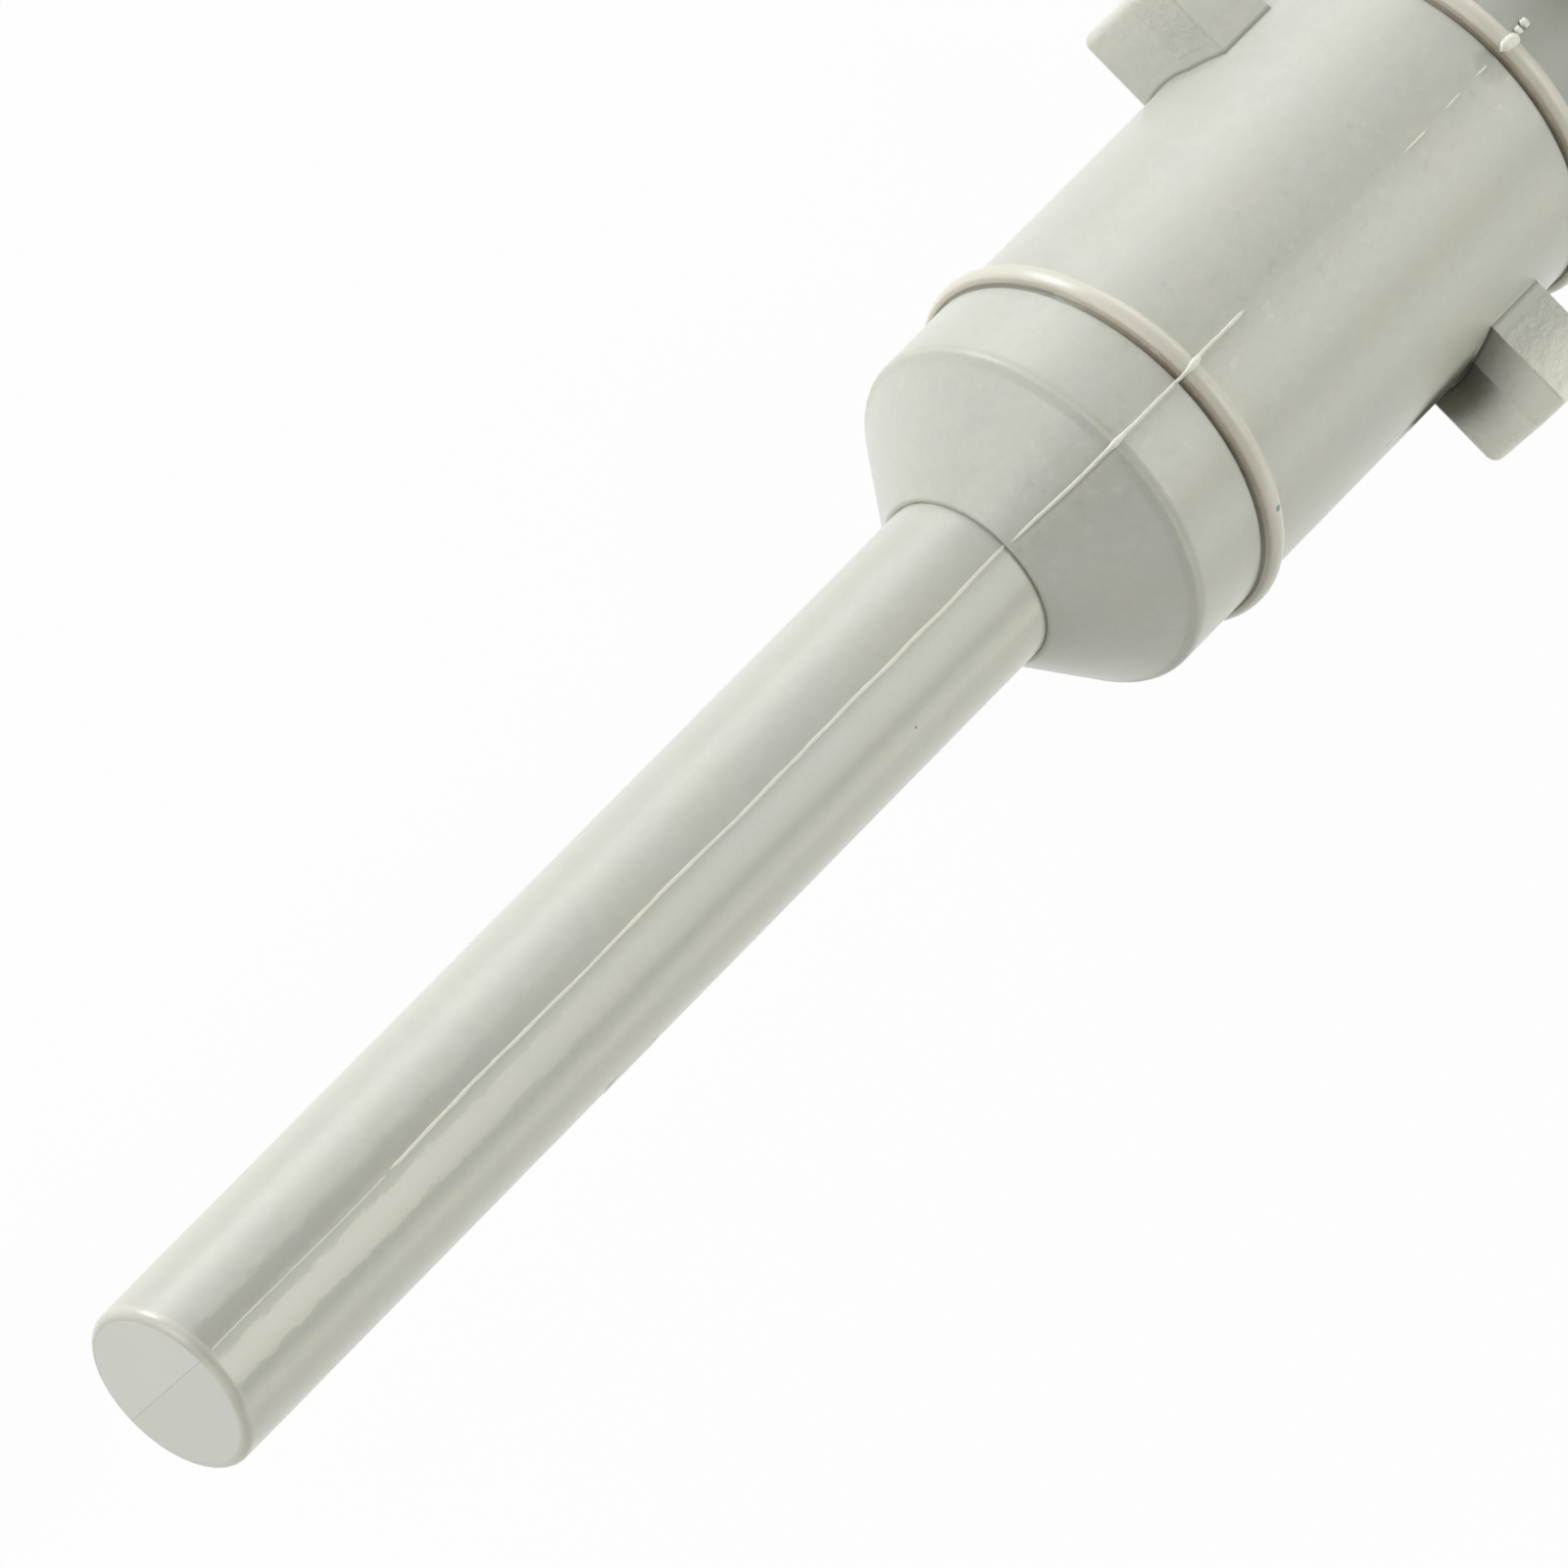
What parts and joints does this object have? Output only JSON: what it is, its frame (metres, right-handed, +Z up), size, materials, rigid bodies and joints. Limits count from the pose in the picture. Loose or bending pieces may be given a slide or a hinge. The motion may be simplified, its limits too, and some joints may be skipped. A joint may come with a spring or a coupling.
{
  "type": "desoldering pump",
  "caption": "Spring-driven hand desoldering pump with a plunger rod, two finger rests, a release button and a replaceable nozzle.",
  "frame": {"origin": "centre of the nozzle's mouth, on the pump's axis", "axes": "+X along the pump, out of the nozzle; Y across the two finger rests; +Z up through the release button, with the pump lying on its bead rings"},
  "size_m": [0.2142, 0.0286, 0.0247],
  "materials": {
    "housing_plastic": "satin moulded",
    "rod_plastic": "satin moulded",
    "dark_plastic": "satin moulded",
    "acetal": "smooth",
    "ptfe": "waxy",
    "black_rubber": "matt",
    "felt": "felted",
    "steel": "bright zinc",
    "spring_steel": "drawn wire"
  },
  "bodies": {
    "housing": {"left_shell": "housing_plastic", "right_shell": "housing_plastic", "rod_wiper": "felt", "rod_guide_bush": "acetal", "latch_carrier": "acetal", "button_spring": "spring_steel", "barrel": "housing_plastic", "rear_bumper": "black_rubber", "main_spring": "spring_steel", "spring_seat": "steel", "nose_cap": "dark_plastic", "nose_o_ring": "black_rubber", "nozzle": "ptfe", "nozzle_o_ring": "black_rubber", "nozzle_nut": "dark_plastic"},
    "plunger": {"plunger_rod": "rod_plastic", "piston": "acetal", "piston_o_rings": "black_rubber", "piston_washer": "steel", "piston_screw": "steel", "cleaning_pin": "steel"},
    "button": {"release_button": "dark_plastic", "latch_plate": "steel", "button_pin": "steel"}
  },
  "joints": [
    {"name": "plunger_slide", "type": "slide", "parent": "housing", "child": "plunger", "axis": [1, 0, 0], "range_m": [0, 0.044], "stiffness_N_per_m": 350, "springref_m": -0.008, "deforming": ["main_spring"]},
    {"name": "button_press", "type": "slide", "parent": "housing", "child": "button", "axis": [0, 0, -1], "range_m": [0, 0.0015], "stiffness_N_per_m": 900, "springref_m": -0.001, "deforming": ["button_spring"]}
  ]
}
